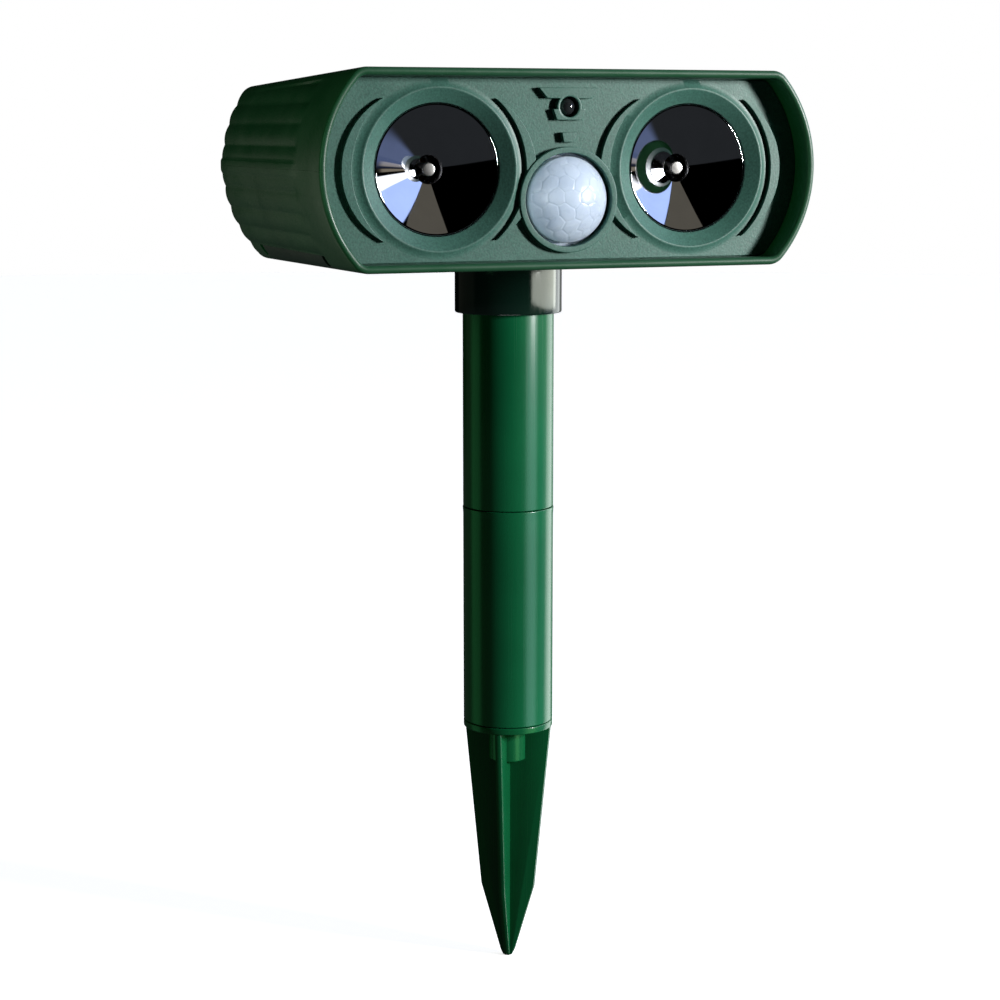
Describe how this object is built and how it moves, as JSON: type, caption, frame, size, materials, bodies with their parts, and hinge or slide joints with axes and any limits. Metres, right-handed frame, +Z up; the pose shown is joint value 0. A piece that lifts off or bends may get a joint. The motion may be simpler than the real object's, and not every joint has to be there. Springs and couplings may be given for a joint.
{
  "type": "ultrasonic pest repeller",
  "caption": "Garden ultrasonic pest repeller: a wide hooded head with twin sound horns and a motion-sensor dome, on a push-fit pole with a finned ground spike.",
  "frame": {"origin": "on the pole's axis at ground level, the plane of the underside of the spike's flange", "axes": "+Z up along the pole, the head looks along -Y, +X is to the right seen from the front"},
  "size_m": [0.1766, 0.1321, 0.3246],
  "materials": {
    "satin_green": "satin, fine grain",
    "panel_green": "satin with a fine speckle",
    "gloss_green": "glossy",
    "collar_gloss": "high gloss",
    "dark_chrome": "mirror",
    "chrome": "mirror",
    "milky_lens": "satin, faceted",
    "led_lens": "glossy",
    "solar_cells": "glossy",
    "clear_cover": "clear",
    "black_plastic": "satin",
    "rubber": "matte",
    "steel": "satin",
    "brass": "satin",
    "board_green": "satin",
    "cell_wrap": "satin",
    "red_wire": "satin"
  },
  "bodies": {
    "spike": {"ground_spike": "gloss_green"},
    "lower_pole": {"lower_tube": "gloss_green"},
    "upper_pole": {"upper_tube": "gloss_green"},
    "collar": {"neck_collar": "collar_gloss", "swivel_retainer": "steel", "swivel_screw": "steel"},
    "head": {"upper_shell": "satin_green", "lower_shell": "satin_green", "front_panel": "panel_green", "housing_screw_front_left": "steel", "housing_screw_front_right": "steel", "housing_screw_rear_left": "steel", "housing_screw_rear_right": "steel", "horn_left": "dark_chrome", "horn_right": "dark_chrome", "horn_gasket_left": "rubber", "horn_gasket_right": "rubber", "phase_pin_left": "chrome", "phase_pin_right": "chrome", "driver_housing_left": "black_plastic", "driver_housing_right": "black_plastic", "piezo_disc_left": "brass", "piezo_disc_right": "brass", "pir_lens": "milky_lens", "pir_retainer": "black_plastic", "pir_sensor": "steel", "status_led": "led_lens", "sensor_board": "board_green", "sensor_board_screw_left": "steel", "sensor_board_screw_right": "steel", "solar_panel": "solar_cells", "solar_cover": "clear_cover", "battery_holder": "black_plastic", "battery_cell_1": "cell_wrap", "battery_cell_2": "cell_wrap", "battery_cell_3": "cell_wrap", "battery_spring_1": "steel", "battery_spring_2": "steel", "battery_spring_3": "steel", "battery_contact_strip": "steel", "main_board": "board_green", "board_screw_left": "steel", "board_screw_right": "steel", "sensitivity_potentiometer": "steel", "frequency_potentiometer": "steel", "power_switch_body": "black_plastic", "dc_socket": "black_plastic", "dc_cap_anchor": "rubber", "horn_lead_left": "red_wire", "horn_lead_right": "red_wire", "battery_lead": "red_wire", "solar_lead": "red_wire", "sensor_lead": "black_plastic"},
    "sensitivity_knob": {"sensitivity_knob": "black_plastic"},
    "frequency_knob": {"frequency_knob": "black_plastic"},
    "switch_slider": {"power_switch_slider": "black_plastic"},
    "dc_cap": {"dc_cap": "rubber"},
    "battery_door": {"battery_door": "satin_green", "battery_door_screw": "steel"}
  },
  "joints": [
    {"name": "lower_pole_pull", "type": "slide", "parent": "spike", "child": "lower_pole", "axis": [0, 0, 1], "range_m": [0, 0.03]},
    {"name": "upper_pole_pull", "type": "slide", "parent": "lower_pole", "child": "upper_pole", "axis": [0, 0, 1], "range_m": [0, 0.03]},
    {"name": "collar_pull", "type": "slide", "parent": "upper_pole", "child": "collar", "axis": [0, 0, 1], "range_m": [0, 0.025]},
    {"name": "head_swivel", "type": "hinge", "parent": "collar", "child": "head", "pos_m": [0, 0, 0.171], "axis": [0, 0, 1], "continuous": true},
    {"name": "sensitivity_turn", "type": "hinge", "parent": "head", "child": "sensitivity_knob", "pos_m": [0.006, 0.0639, 0.2171], "axis": [0, 1, 0], "range_deg": [-135, 135]},
    {"name": "frequency_turn", "type": "hinge", "parent": "head", "child": "frequency_knob", "pos_m": [0.038, 0.0639, 0.2171], "axis": [0, 1, 0], "range_deg": [-135, 135]},
    {"name": "power_slide", "type": "slide", "parent": "head", "child": "switch_slider", "axis": [1, 0, 0], "range_m": [0, 0.004]},
    {"name": "dc_cap_swing", "type": "hinge", "parent": "head", "child": "dc_cap", "pos_m": [0.006, 0.0679, 0.1951], "axis": [1, 0, 0], "range_deg": [0, 95]},
    {"name": "battery_door_lift", "type": "slide", "parent": "head", "child": "battery_door", "axis": [0, 0, -1], "range_m": [0, 0.04]}
  ]
}
